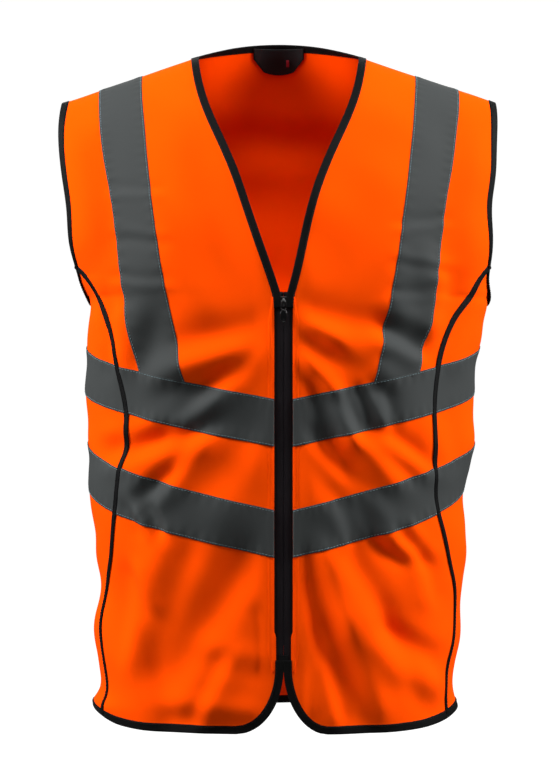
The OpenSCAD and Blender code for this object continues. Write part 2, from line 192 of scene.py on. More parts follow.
def shell(x, v, side):
    """Point and outward normal at x and v (-1 hem, 0 armpits, 1 shoulder seam) on the front or back."""
    x, v, side = np.broadcast_arrays(x, v, side)
    x, v, side = x.astype(float), v.astype(float), side.astype(float)
    t = depth_share(x, v)
    height = ridge_z(x) + ARMPIT_DROP
    z = np.where(v <= 0, v * BODY_LEN, height * rise(v)) - ARMPIT_DROP
    point = xyz(x, side * HALF_DEPTH * t * reach(v), z)
    s = np.sin(np.pi / 2 * np.clip(v, 0, 1))
    c = np.cos(np.pi / 2 * np.clip(v, 0, 1))
    a = span(v)
    r = np.minimum(1, np.abs(x) / a)
    tn = 1 - r**GIRTH_N
    e = 2 * (ARCH_N - 1) / ARCH_N
    normal = xyz(
        np.sign(x) * (r ** (GIRTH_N - 1) / a * c * c + tn * s * s * SHOULDER_SLOPE / height),
        side * c**e * t ** (GIRTH_N - 1) / HALF_DEPTH,
        s**e * tn / height,
    )
    return point, unit(normal)


def arch_v(x, z):
    """v at x and height z above the armpits: the arch's rise turned round."""
    share = np.clip((z + ARMPIT_DROP) / (ridge_z(x) + ARMPIT_DROP), 0, 1)
    return np.arcsin(share ** (ARCH_N / 2)) * 2 / np.pi


def v_of(z):
    """v at height z, near the sides."""
    z = np.asarray(z, float)
    return np.where(z <= -ARMPIT_DROP, (z + ARMPIT_DROP) / BODY_LEN, arch_v(TIP_HALF_W, z))


def z_of(v):
    """Height at the side at v."""
    v = np.asarray(v, float)
    arm = (ridge_z(edge_x(v)) + ARMPIT_DROP) * rise(v)
    return np.where(v <= 0, v * BODY_LEN, arm) - ARMPIT_DROP


def girth_u(x, z):
    """Share of the way round from the centre to the side at x."""
    return np.arcsin(np.minimum(1, np.abs(x) / half_w(z)) ** (GIRTH_N / 2)) * 2 / np.pi


def girth_x(u, z):
    """x at a share of the way round."""
    return half_w(z) * np.sin(np.pi / 2 * u) ** (2 / GIRTH_N)


def side_place(y, z):
    """x, v and side of the surface at depth y and height z, near the sides."""
    v = v_of(z)
    r = np.minimum(1, np.abs(y) / (HALF_DEPTH * reach(v)))
    return span(v) * (1 - r**GIRTH_N) ** (1 / GIRTH_N), v, np.where(y < 0, FRONT, BACK)


def run_x(x, v):
    """x covered for each mm along the cloth, going round the body."""
    r = np.minimum(0.999, np.abs(x) / span(v))
    fall = HALF_DEPTH * reach(v) / span(v) * (r / (1 - r**GIRTH_N) ** (1 / GIRTH_N)) ** (GIRTH_N - 1)
    return 1 / np.sqrt(1 + fall**2)


# ---- lines that the pieces share


def neck_x(v):
    """x of the seam line of the V neck: straight with a small bulge."""
    q = rise(v)
    return np.where(v <= 0, ZIP_HALF_W, mix(ZIP_HALF_W, NECK_HALF_W, q + 0.095 * np.sin(np.pi * q * q)))


def back_neck(x):
    """v of the back neck's seam line: a parabola in height."""
    return arch_v(x, BACK_NECK_H * np.maximum(0, 1 - (x / NECK_HALF_W) ** 2))


def piping_line(z):
    """x of the piping: straight, drifting out towards the hem, and swept out to the armhole."""
    return PIPING_X + PIPING_DRIFT * smooth((-370 - z) / 270) + PIPING_SWEEP * np.exp((z + 233) / 52)


def hem_line(u):
    """Height of the hem: level, rising towards the sides as the sixth power of the sine."""
    return HEM_Z + HEM_SIDE_RISE * np.sin(np.pi / 2 * u) ** 6


def hem_foot(x, side):
    """Height of the hem's edge at x: the rounded corner in front, the hem line elsewhere."""
    inner = np.clip((CORNER_W + 0.5 - np.abs(x)) / CORNER_W, 0, 1)
    corner = CORNER_TOP - CORNER_H * np.sqrt(1 - inner**2)
    level = hem_line(girth_u(x, HEM_Z + 20))
    return np.where((side < 0) & (np.abs(x) < CORNER_W), np.maximum(corner, level), level)


def shoulder_x(v):
    """x of the middle of a shoulder tape: it leans in as it comes down."""
    return 172.75 - 33 * np.maximum(0, 1 - v) ** 2.3


UPPER_TAPE = (-373.5, 60.0)
LOWER_TAPE = (-490.0, 72.0)


def tape_top(tape, u):
    """Height of a body tape's top edge: lowest at the centre, rising as u to the power of 0.85."""
    return tape[0] + tape[1] * u**0.85


# ---- how the cloth hangs

# Folds: x and z of one end, x and z of the other, height (a hollow if below 0) and half width, all in mm
FRONT_FOLDS = np.array([
    # the wearer's right front, above the upper tape
    (-100, -322, -14, -302, 3.8, 13), (-118, -356, -50, -336, -2.8, 11), (-74, -366, -14, -318, 3.0, 10),
    (-144, -300, -150, -322, -4.0, 13), (-172, -286, -172, -340, 2.6, 7), (-188, -268, -180, -310, -2.4, 7),
    (-60, -120, -34, -230, 2.0, 22), (-120, -90, -150, -210, 2.4, 26), (-200, -110, -196, -200, -2.6, 16),
    (-95, -170, -70, -262, -2.2, 20),
    # between and on its tapes
    (-112, -404, -74, -368, 2.6, 9), (-166, -437, -82, -410, 4.2, 10), (-172, -414, -112, -404, -3.0, 9),
    (-124, -466, -90, -424, 3.6, 10), (-150, -470, -120, -448, -2.4, 8), (-60, -470, -24, -420, 2.0, 16),
    (-146, -505, -158, -486, 2.8, 6), (-132, -512, -142, -492, -2.6, 5), (-120, -508, -128, -488, 1.8, 5),
    # and below them
    (-110, -538, -146, -646, -5.0, 15), (-148, -646, -128, -704, -3.0, 13), (-60, -548, -118, -640, -4.0, 20),
    (-30, -548, -96, -668, 3.6, 18), (-70, -640, -16, -652, -1.6, 10), (-58, -650, -82, -700, 3.4, 9),
    (-20, -600, -18, -650, 2.6, 7), (-150, -560, -136, -590, 2.6, 8), (-110, -700, -40, -706, -2.4, 10),
    (-176, -560, -174, -640, -2.4, 8),
    (-176, -150, -128, -154, 0.9, 5), (-172, -196, -122, -204, -0.9, 5), (-170, -246, -120, -250, 1.0, 5),
    # the wearer's left front, above the upper tape
    (128, -190, 178, -184, 1.0, 5), (126, -226, 176, -232, -1.1, 5), (124, -262, 172, -262, 0.9, 5),
    (14, -286, 98, -305, 3.2, 12), (13, -294, 54, -313, -3.0, 8), (54, -328, 100, -352, -4.0, 10),
    (12, -318, 84, -344, 3.2, 9), (15, -337, 52, -366, -3.4, 8), (112, -306, 144, -324, 3.0, 8),
    (118, -286, 150, -300, -2.6, 10), (60, -110, 34, -220, 2.0, 22), (124, -96, 146, -206, 2.4, 24),
    (198, -100, 196, -210, -2.4, 16), (176, -250, 168, -300, 2.8, 8), (192, -270, 176, -330, -2.6, 8),
    (150, -230, 152, -290, -2.0, 12),
    # between and on its tapes
    (42, -370, 60, -410, -4.0, 9), (66, -372, 80, -410, 2.2, 7), (88, -364, 100, -394, -2.6, 5),
    (110, -372, 116, -396, 2.0, 6), (34, -418, 62, -448, 3.6, 9), (74, -424, 106, -464, -2.6, 11),
    (90, -414, 128, -452, 2.6, 9), (118, -417, 160, -445, 4.4, 8), (20, -420, 44, -470, 2.2, 14),
    (172, -404, 182, -440, 3.4, 12), (60, -490, 72, -520, 2.0, 8), (96, -488, 112, -520, -3.0, 10),
    # and below them
    (37, -545, 60, -612, -4.6, 12), (60, -612, 96, -698, -4.6, 12), (16, -575, 30, -626, 2.6, 9),
    (50, -655, 60, -700, 3.0, 8), (70, -546, 104, -606, 3.4, 12), (104, -606, 134, -672, 3.4, 12),
    (112, -628, 172, -664, 3.4, 12),
    (120, -610, 166, -634, -1.4, 9), (109, -522, 130, -537, -3.4, 7), (138, -514, 157, -537, -3.2, 7),
    (150, -540, 160, -580, 3.0, 9), (24, -640, 22, -690, -2.0, 8), (130, -670, 170, -690, -2.4, 12),
])  # fmt: skip
# The same on the back, and on the sides with y in place of x; the sides' are the same left and right
BACK_FOLDS = np.array([
    (-150, -140, -60, -190, 3.0, 18), (150, -150, 64, -196, 3.0, 18), (-120, -210, -30, -240, -3.0, 16),
    (126, -214, 36, -246, -3.0, 16), (-70, -60, 70, -66, 2.4, 18), (-60, -96, 64, -100, -2.4, 16),
    (-150, -262, -80, -330, 3.6, 14), (152, -256, 90, -330, 3.6, 14), (-120, -300, -60, -350, -3.0, 12),
    (124, -306, 64, -352, -3.0, 12), (-20, -280, -34, -360, 2.4, 16), (24, -290, 40, -362, -2.2, 14),
    (-140, -420, -60, -446, 3.6, 12), (146, -414, 66, -440, 3.4, 12), (-110, -452, -40, -470, -3.0, 10),
    (116, -448, 48, -466, -3.0, 10), (-20, -430, 20, -434, 2.2, 14), (-150, -530, -120, -640, 4.4, 18),
    (150, -536, 126, -644, 4.4, 18), (-100, -550, -84, -690, -4.2, 18), (104, -546, 86, -690, -4.2, 18),
    (-54, -560, -40, -700, 3.8, 16), (58, -566, 46, -704, 3.8, 16), (-6, -570, 6, -700, -3.4, 18),
    (-170, -600, -160, -700, -3.0, 12), (172, -600, 160, -700, -3.0, 12), (0, -500, 30, -560, 2.0, 14),
])  # fmt: skip
SIDE_FOLDS = np.array([
    (-60, -290, 50, -306, 3.0, 12), (-50, -322, 60, -334, -2.6, 11), (-66, -404, 60, -398, 2.6, 12),
    (-60, -430, 64, -426, -2.6, 10), (-56, -520, 50, -548, 4.0, 14), (-40, -552, 46, -576, -4.6, 14),
    (-34, -596, 40, -612, 4.2, 14), (-40, -640, 36, -650, -4.4, 14), (-44, -690, 40, -700, 2.6, 12),
])  # fmt: skip
FOLD_SPREAD = 1.5
# Slow waves of the cloth: their number, height and shortest and longest wavelength
WAVES, WAVE_H, WAVE_SHORT, WAVE_LONG = 22, 0.3, 55.0, 210.0


def fold_height(a, z, folds):
    """Sum over the folds of a step across each fold's line, -height x d x bell(d), d being the distance
    outward and upward from the line over its width, faded past the line's ends by a bell."""
    a, z = a[..., None], z[..., None]
    a0, z0, a1, z1, height, wide = folds.T
    wide = wide * FOLD_SPREAD
    long = np.hypot(a1 - a0, z1 - z0)
    ta, tz = (a1 - a0) / long, (z1 - z0) / long
    turn = np.where(-tz * np.sign(a0 + a1) * 0.8 + ta * 0.6 > 0, 1.0, -1.0)
    along = (a - a0) * ta + (z - z0) * tz
    across = turn * (-tz * (a - a0) + ta * (z - z0)) / wide
    past = (along - np.clip(along, 0, long)) / wide
    return (-2.3 * height * across * bell(across) * bell(past / 1.3)).sum(-1)


def wave_height(p, seed):
    """Sum of seeded sine waves running in all directions over the cloth."""
    rng = np.random.default_rng(seed)
    turn = rng.uniform(0, np.pi, WAVES)
    pace = 2 * np.pi / rng.uniform(WAVE_SHORT, WAVE_LONG, WAVES)
    shift = rng.uniform(0, 2 * np.pi, WAVES)
    across = p[..., 0] + 0.7 * p[..., 1]
    phase = across[..., None] * np.cos(turn) + p[..., 2, None] * np.sin(turn)
    return WAVE_H * np.sin(phase * pace + shift).sum(-1)


LEAN = 5.2
# Places where the cloth is pushed along x: x and z of the middle, the push, and its reach along x and z
PUSHES = np.array([
    # the sides and armholes
    (-213, -365, -8, 45, 50), (-213, -475, -4.8, 45, 62), (-213, -560, -2, 45, 25),
    (-213, -612, -11.5, 45, 38), (-213, -680, 3, 45, 16), (-213, -702, -5, 45, 9),
    (213, -283, 8, 45, 36), (213, -477, -11, 45, 33), (213, -575, 4.5, 45, 24), (213, -685, -17, 45, 46),
    (-232, -165, 4, 60, 34), (228, -165, -4, 60, 34), (-215, -268, 5, 40, 16), (215, -266, 4, 40, 16),
    # the piping
    (-192, -264, -6, 28, 42), (-165, -395, 6, 26, 42), (-167, -600, 8, 18, 55),
])  # fmt: skip


def sway(p):
    """x moved by a lean of the whole vest, which its zip and its sides don't share, and by bell pushes."""
    x, z = p[..., 0], p[..., 2]
    low = smooth((-150 - z) / 110)
    outer = smooth((np.abs(x) - 165) / 45)
    lean = -LEAN * (1 - bell(x / 70) * low) * (1 - outer * low)
    x0, z0, push, reach_x, reach_z = PUSHES.T
    near = bell((x[..., None] - x0) / reach_x) * bell((z[..., None] - z0) / reach_z)
    return lean + (push * near).sum(-1)


def drape(p, n):
    """The surface point moved out by the folds and waves, which fade towards the shoulder seams."""
    x, y, z = p[..., 0], p[..., 1], p[..., 2]
    facing = n[..., 1]
    front = smooth((-facing - 0.1) / 0.5)
    back = smooth((facing - 0.1) / 0.5)
    out = front * fold_height(x, z, FRONT_FOLDS) + back * fold_height(x, z, BACK_FOLDS)
    out = out + 0.25 * (1 - front - back) * fold_height(y, z, SIDE_FOLDS)
    calm_zip = smooth((np.abs(x) - 7) / 26) * (y < 0) + (y >= 0)
    calm_top = smooth(-z / 90 + 0.1)
    calm_piping = 1 - 0.5 * bell((np.abs(x) - piping_line(z)) / 14) * (z < -240)
    out = (out + wave_height(p, 11) * (1 - 0.8 * n[..., 0] ** 4)) * calm_top * calm_zip * calm_piping
    moved = p + n * out[..., None]
    moved[..., 0] += sway(p)
    return moved


def cloth(x, v, side, lift=0.0):
    """Draped point and normal, lift mm over the middle of the cloth."""
    p, n = shell(x, v, side)
    return drape(p, n) + n * np.asarray(lift)[..., None], n


# ---- mesh makers


def grid_faces(rows, cols, wrap_rows=False, wrap_cols=False):
    """Quads of a grid of points, as an array of four indices each, joined up where it wraps."""
    i = np.arange(rows if wrap_rows else rows - 1)[:, None]
    j = np.arange(cols if wrap_cols else cols - 1)[None, :]
    a, b = i * cols + j, i * cols + (j + 1) % cols
    c, d = (i + 1) % rows * cols + (j + 1) % cols, (i + 1) % rows * cols + j
    return np.stack(np.broadcast_arrays(a, b, c, d), -1).reshape(-1, 4)


def make_mesh(name, points, quads, material, uv=None, ends=()):
    """A piece from points in mm, quads and end polygons, smooth, with a UV map in metres."""
    faces = [*quads.tolist(), *[list(map(int, e)) for e in ends]]
    mesh = bpy.data.meshes.new(name)
    mesh.from_pydata((points.reshape(-1, 3) * MM).tolist(), [], faces)
    mesh.polygons.foreach_set("use_smooth", np.ones(len(mesh.polygons), bool))
    if uv is not None:
        corners = np.zeros(len(mesh.loops), int)
        mesh.loops.foreach_get("vertex_index", corners)
        layer = mesh.uv_layers.new(name="cloth")
        layer.data.foreach_set("uv", (uv.reshape(-1, 2)[corners] * MM).ravel().astype(np.float32))
    mesh.materials.append(material)
    mesh.update()
    piece = bpy.data.objects.new(name, mesh)
    bpy.context.collection.objects.link(piece)
    return piece


def lengths(p):
    """Running length along a row of points."""
    step = np.linalg.norm(np.diff(p, axis=0), axis=-1)
    return np.concatenate([[0], np.cumsum(step)])


def sheet_mesh(name, p, n, thick, material, inside=None):
    """A grid of cloth facing along n, which Solidify gives its thickness and its inside's material (for the
    shell, a darker copy of the knit that paints the shade inside the vest).
    """
    rows, cols = p.shape[:2]
    quads = grid_faces(rows, cols)
    mid = (rows // 2, cols // 2)
    across, down = p[mid] - p[mid[0], mid[1] - 1], p[mid] - p[mid[0] - 1, mid[1]]
    if np.dot(np.cross(across, down), n[mid]) < 0:
        quads = quads[:, ::-1]
    middle_row, middle_col = lengths(p[rows // 2]), lengths(p[:, cols // 2])
    uv = np.stack(np.meshgrid(middle_row, middle_col), -1)
    piece = make_mesh(name, p, quads, material, uv)
    wall = piece.modifiers.new("thickness", "SOLIDIFY")
    wall.thickness = thick * MM
    wall.offset = 0
    if inside:
        piece.data.materials.append(inside)
        wall.material_offset = 1
    return piece


def path_frames(p, n, closed):
    """Direction across a path, in the cloth: normal x tangent."""
    ahead = np.roll(p, -1, 0) - np.roll(p, 1, 0)
    if not closed:
        ahead[0], ahead[-1] = p[1] - p[0], p[-1] - p[-2]
    return unit(np.cross(n, ahead))


def beside(x, v, side, across, out, closed=False):
    """Draped points a distance across from a path, in the cloth, and out from it, and their normals."""
    p, n = shell(x, v, side)
    d = path_frames(p, n, closed)
    across, out = np.atleast_1d(across), np.atleast_1d(out)
    flat = p[:, None] + d[:, None] * across[..., None]
    normal = np.broadcast_to(n[:, None], flat.shape)
    return drape(flat, normal) + normal * out[..., None], normal


def strip_mesh(name, grid, material, closed=False, flip=False):
    """A closed section carried along a path: rows are places along it, columns go round the section."""
    rows, cols = grid.shape[:2]
    quads = grid_faces(rows, cols, wrap_rows=closed, wrap_cols=True)
    ends = [] if closed else [np.arange(cols)[::-1], (rows - 1) * cols + np.arange(cols)]
    if flip:
        quads, ends = quads[:, ::-1], [e[::-1] for e in ends]
    uv = np.stack(np.meshgrid(lengths(grid[rows // 2]), lengths(grid[:, 0])), -1)
    return make_mesh(name, grid, quads, material, uv, ends)


def rings(path, a, b, count, n=1.0):
    """Rings of points round a path: a times the cosine plus b times the sine, each to the power n."""
    turn = angles(count)
    return (path[:, None] + power(np.cos(turn), n)[None, :, None] * a[:, None]
            + power(np.sin(turn), n)[None, :, None] * b[:, None])


STITCH_SIDES = 5
STITCH_LONG, STITCH_PITCH = 2.7, 3.4
STITCH_STATIONS = np.array([-0.5, -0.36, 0.0, 0.36, 0.5])
STITCH_FAT = np.array([0.35, 0.9, 1.0, 0.9, 0.35])
STITCH_LIFT = np.array([-0.35, 0.25, 0.45, 0.25, -0.35])


def stitch_mesh(name, runs, material, wide=0.5):
    """Rows of stitches: small bowed capsules set end to end along runs of points and normals."""
    turn = np.tile(angles(STITCH_SIDES), len(STITCH_STATIONS))
    fat = np.repeat(STITCH_FAT * wide / 2, STITCH_SIDES)
    along = np.repeat(STITCH_STATIONS * STITCH_LONG, STITCH_SIDES)[:, None]
    aside = (fat * np.cos(turn))[:, None]
    over = (fat * np.sin(turn) + np.repeat(STITCH_LIFT * wide, STITCH_SIDES))[:, None]
    tube = grid_faces(len(STITCH_STATIONS), STITCH_SIDES, wrap_cols=True)[:, ::-1]
    first = np.arange(STITCH_SIDES)
    last = len(along) - 1 - first
    points, quads, caps, count = [], [], [], 0
    for p, n in runs:
        run = lengths(p)
        at = np.arange(STITCH_PITCH / 2, run[-1], STITCH_PITCH)
        place, normal, ahead = (
            np.stack([np.interp(at, run, column) for column in values.T], -1)[:, None]
            for values in (p, n, np.gradient(p, run, axis=0))
        )
        normal, ahead = unit(normal), unit(ahead)
        across = unit(np.cross(normal, ahead))
        points.append((place + ahead * along + across * aside + normal * over).reshape(-1, 3))
        base = count + np.arange(len(at)) * len(along)
        quads.append((base[:, None, None] + tube[None]).reshape(-1, 4))
        caps += [*(base[:, None] + first).tolist(), *(base[:, None] + last).tolist()]
        count += len(at) * len(along)
    return make_mesh(name, np.concatenate(points), np.concatenate(quads), material, None, caps)


def rides(piece, body="garment", stands_for=()):
    """The piece moves with a body, and stands for CAD nodes."""
    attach(piece, body)
    if stands_for:
        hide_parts(*stands_for)
    return piece


# ---- materials


def group(name, inputs, outputs):
    """An empty shader group with sockets given as name and type, and value for an input."""
    tree = bpy.data.node_groups.new(name, "ShaderNodeTree")
    for label, kind, value in inputs:
        made = tree.interface.new_socket(name=label, in_out="INPUT", socket_type=kind)
        if value is not None:
            made.default_value = value
    for label, kind in outputs:
        tree.interface.new_socket(name=label, in_out="OUTPUT", socket_type=kind)
    return tree, tree.nodes.new("NodeGroupInput"), tree.nodes.new("NodeGroupOutput")


def feed(tree, slot, value):
    """Give a node's input a number, or link a socket to it."""
    if isinstance(value, (int, float)):
        slot.default_value = value
    else:
        tree.links.new(value, slot)


def math(tree, kind, *values):
    """A Math node of sockets or numbers."""
    node = tree.nodes.new("ShaderNodeMath")
    node.operation = kind
    for slot, value in zip(node.inputs, values):
        feed(tree, slot, value)
    return node.outputs[0]


def noise(tree, vector, scale, detail=2.0):
    """A Noise node's value."""
    node = tree.nodes.new("ShaderNodeTexNoise")
    for label, value in (("Vector", vector), ("Scale", scale), ("Detail", detail)):
        feed(tree, node.inputs[label], value)
    return node.outputs["Fac"]


FLOAT, VECTOR, COLOR = "NodeSocketFloat", "NodeSocketVector", "NodeSocketColor"


def scaled_sum(tree, a, scale_a, b, scale_b):
    """Two sockets, each times a number, added up."""
    return math(tree, "ADD", math(tree, "MULTIPLY", a, scale_a), math(tree, "MULTIPLY", b, scale_b))


def wave(tree, turns, per_turn=2.0):
    """The sine of per_turn half circles for each turn."""
    return math(tree, "SINE", math(tree, "MULTIPLY", turns, per_turn * float(np.pi)))


def pattern_group(name, across, up):
    """A group that counts a cloth's turns along x and y of its vector, to put out a height."""
    tree, inp, out = group(name, [("Vector", VECTOR, None), across, up], [("Height", FLOAT)])
    split = tree.nodes.new("ShaderNodeSeparateXYZ")
    tree.links.new(inp.outputs["Vector"], split.inputs[0])
    turns = [math(tree, "MULTIPLY", split.outputs[k], inp.outputs[k + 1]) for k in (0, 1)]
    return tree, out.inputs["Height"], *turns


def knit_group():
    """Height of a warp knit: rounded wales, each crossed by slanted loops."""
    tree, height, across, up = pattern_group(
        "warp_knit", ("Wales per metre", FLOAT, 900.0), ("Loops per metre", FLOAT, 700.0))
    wale = math(tree, "ABSOLUTE", wave(tree, across, 1.0))
    loop = wave(tree, math(tree, "ADD", up, math(tree, "PINGPONG", across, 0.5)))
    tree.links.new(scaled_sum(tree, wale, 0.6, loop, 0.2), height)
    return tree


def weave_group():
    """Height of a ribbed weave: two crossing rows of sine ribs, the weft's the stronger."""
    tree, height, across, up = pattern_group(
        "ribbed_weave", ("Warp per metre", FLOAT, 1500.0), ("Weft per metre", FLOAT, 900.0))
    warp, weft = wave(tree, across), wave(tree, up)
    tree.links.new(scaled_sum(tree, weft, 0.4, math(tree, "MULTIPLY", warp, weft), 0.5), height)
    return tree


def blotch_group():
    """A colour made a little lighter and darker in large soft patches and fine specks."""
    sockets = [("Vector", VECTOR, None), ("Light", COLOR, None), ("Dark", COLOR, None),
               ("Fine scale", FLOAT, 700.0)]
    tree, inp, out = group("soft_variation", sockets, [("Color", COLOR), ("Mask", FLOAT)])
    fine = noise(tree, inp.outputs["Vector"], inp.outputs["Fine scale"])
    broad = noise(tree, inp.outputs["Vector"], 9.0, 3.0)
    total = scaled_sum(tree, broad, 0.65, fine, 0.35)
    blend = tree.nodes.new("ShaderNodeMix")
    blend.data_type = "RGBA"
    for label, value in (("Factor", total), ("A", inp.outputs["Dark"]), ("B", inp.outputs["Light"])):
        tree.links.new(value, blend.inputs[label])
    tree.links.new(blend.outputs["Result"], out.inputs["Color"])
    tree.links.new(total, out.inputs["Mask"])
    return tree


KNIT, WEAVE, VARIATION = knit_group(), weave_group(), blotch_group()


def finish(name, light, dark, rough, spec, bump, depth, strength, pace=(), fine=700.0, **sockets):
    """A material: varied colour and roughness, and a bump, depth mm high, of a knit, weave or fine grain,
    whose pace is the threads to a metre across and along."""
    material = bpy.data.materials.new(name)
    material.use_nodes = True
    tree = material.node_tree
    shader = tree.nodes["Principled BSDF"]
    coords = tree.nodes.new("ShaderNodeTexCoord")
    varied = tree.nodes.new("ShaderNodeGroup")
    varied.node_tree = VARIATION
    varied.inputs["Light"].default_value = (*light, 1)
    varied.inputs["Dark"].default_value = (*dark, 1)
    varied.inputs["Fine scale"].default_value = fine
    tree.links.new(coords.outputs["Object"], varied.inputs["Vector"])
    tree.links.new(varied.outputs["Color"], shader.inputs["Base Color"])
    rougher = math(tree, "ADD", math(tree, "MULTIPLY", varied.outputs["Mask"], 0.16), rough - 0.08)
    tree.links.new(rougher, shader.inputs["Roughness"])
    bumped = tree.nodes.new("ShaderNodeBump")
    bumped.inputs["Distance"].default_value = depth * MM
    bumped.inputs["Strength"].default_value = strength
    if bump is None:
        tree.links.new(noise(tree, coords.outputs["Object"], 1800.0), bumped.inputs["Height"])
    else:
        pattern = tree.nodes.new("ShaderNodeGroup")
        pattern.node_tree = bump
        tree.links.new(coords.outputs["UV"], pattern.inputs["Vector"])
        for k, value in enumerate(pace):
            pattern.inputs[k + 1].default_value = value
        tree.links.new(pattern.outputs["Height"], bumped.inputs["Height"])
    tree.links.new(bumped.outputs["Normal"], shader.inputs["Normal"])
    shader.inputs["Specular IOR Level"].default_value = spec
    for label, value in sockets.items():
        shader.inputs[label.replace("_", " ")].default_value = value
    return material


JET = (0.002, 0.002, 0.0022)
shell_knit = finish("fluorescent_knit", (1.0, 0.08, 0.0), (1.0, 0.064, 0.0), 0.95, 0.02, KNIT, 0.12, 0.4)
# The shell's inside faces take a darker copy of the same knit: painted shade for the dim inside of the vest
shell_inside_painted_shade = finish(
    "fluorescent_knit_inside_painted_shade", (0.92, 0.06, 0.0), (0.86, 0.05, 0.0), 0.98, 0.0, KNIT, 0.1, 0.4)
tape_bead = finish("reflective_fabric", (0.041, 0.045, 0.045), (0.032, 0.035, 0.035), 0.75, 0.12, None, 0.03,
                   0.4, fine=2600.0)
binding_rib = finish("black_binding", (0.0042, 0.0045, 0.0045), JET, 0.6, 0.06, WEAVE, 0.12, 0.7, (900, 1400))
piping_rib = finish("black_piping", (0.0042, 0.0042, 0.0045), JET, 0.6, 0.06, WEAVE, 0.12, 0.7, (1100, 1400))
zip_weave = finish("zip_tape_weave", (0.009, 0.006, 0.008), (0.003, 0.0022, 0.003), 0.55, 0.08, WEAVE, 0.15,
                   0.8, (1600, 1100))
coil_nylon = finish("coil_nylon", (0.004, 0.004, 0.0045), (0.002, 0.002, 0.002), 0.35, 0.2, None, 0.02, 0.4)
enamel = finish("black_enamel", (0.005, 0.005, 0.0055), JET, 0.25, 0.3, None, 0.02, 0.3, Coat_Weight=0.4,
                Coat_Roughness=0.15)
moulded = finish("moulded_nylon", (0.004, 0.004, 0.0045), JET, 0.42, 0.15, None, 0.03, 0.5)
film = finish(
    "clear_film", (0.02, 0.02, 0.022), (0.012, 0.012, 0.014), 0.4, 0.15, None, 0.02, 0.3, Alpha=0.25)
label_weave = finish(
    "label_weave", (0.012, 0.012, 0.013), (0.005, 0.005, 0.006), 0.5, 0.15, WEAVE, 0.1, 0.7, (2600, 1500))
size_weave = finish(
    "size_tab_weave", (0.3, 0.016, 0.03), (0.2, 0.008, 0.016), 0.6, 0.1, WEAVE, 0.1, 0.7, (2600, 1500))
care_weave = finish(
    "care_label_weave", (0.8, 0.8, 0.78), (0.7, 0.7, 0.68), 0.6, 0.5, WEAVE, 0.1, 0.6, (2600, 1500))
tape_thread = finish("tape_thread", (0.17, 0.25, 0.27), (0.12, 0.18, 0.2), 0.6, 0.2, None, 0.03, 0.5)
black_thread = finish("black_thread", (0.009, 0.009, 0.01), (0.005, 0.005, 0.005), 0.55, 0.1, None, 0.03, 0.5)
orange_thread = finish("orange_thread", (1.0, 0.09, 0.0), (0.95, 0.07, 0.0), 0.8, 0.05, None, 0.03, 0.5)

# ---- shell panels

CLOTH_T = 0.7
UNDER, UNDER_HEM = 2.0, 1.8
PANEL_LAP = 3.0
NECK_LAP, HEM_LAP = 15.0, 7.0


# Rows of the front and back panels: -1 at the hem, 0 at the armpits, 1 at the top
PANEL_ROWS = np.concatenate([np.linspace(-1, 0, 150), np.linspace(0, 1, 111)[1:]])[:, None]


def panel_side(v):
    """x of a front or back panel's outer edge: under the piping, and inside the armhole's edge above it."""
    arm = edge_x(v) - 2 * run_x(edge_x(v), np.maximum(v, 0.02))
    return np.where(v > PIPING_TOP_V, arm, np.minimum(edge_x(v) - 1, piping_line(z_of(v))))


def to_hem(v, x, side):
    """v on a panel's grid, where the rows below the armpits are drawn out to reach the hem at each x."""
    foot = (hem_foot(np.abs(x[:1]), side) + PANEL_LAP + ARMPIT_DROP) / BODY_LEN
    return np.where(PANEL_ROWS > 0, v, -foot * PANEL_ROWS)


def front_panel(name, s):
    """Columns from the zip or V edge to the piping or armhole, tucked under the neck and hem bindings."""
    w = (np.linspace(0, 1, 96) ** 1.25)[None, :]
    tucked = np.where(PANEL_ROWS > 0, UNDER, 0)
    tucked = tucked + UNDER_HEM * smooth((CORNER_TOP + HEM_LAP - z_of(PANEL_ROWS)) / 5)
    x = mix(neck_x(PANEL_ROWS) - tucked, panel_side(PANEL_ROWS), w)
    p, n = cloth(s * x, to_hem(PANEL_ROWS, x, FRONT), FRONT)
    piece = sheet_mesh(name, p, n, CLOTH_T, shell_knit, shell_inside_painted_shade)
    rides(piece, stands_for=[name])


def back_panel():
    """One grid over the whole back, whose top row follows the shoulder seams and the neck."""
    w = np.linspace(-1, 1, 191)[None, :]
    x_top = np.abs(w) * (TIP_HALF_W - PANEL_LAP)
    v_top = np.where(x_top < NECK_HALF_W, np.minimum(1, back_neck(x_top) + 0.012), 1.0)
    v = np.where(PANEL_ROWS > 0, PANEL_ROWS * v_top, PANEL_ROWS)
    x = w * panel_side(v)
    p, n = cloth(x, to_hem(v, x, BACK), BACK)
    piece = sheet_mesh("back_panel", p, n, CLOTH_T, shell_knit, shell_inside_painted_shade)
    rides(piece, stands_for=["back_panel"])


def armhole_line(count):
    """x, v and side along the armhole edge, from the front's top down to the armpit and up the back."""
    t = np.linspace(1, -1, count)
    v = np.abs(t) ** 1.5
    return edge_x(v), v, np.where(t > 0, FRONT, BACK)


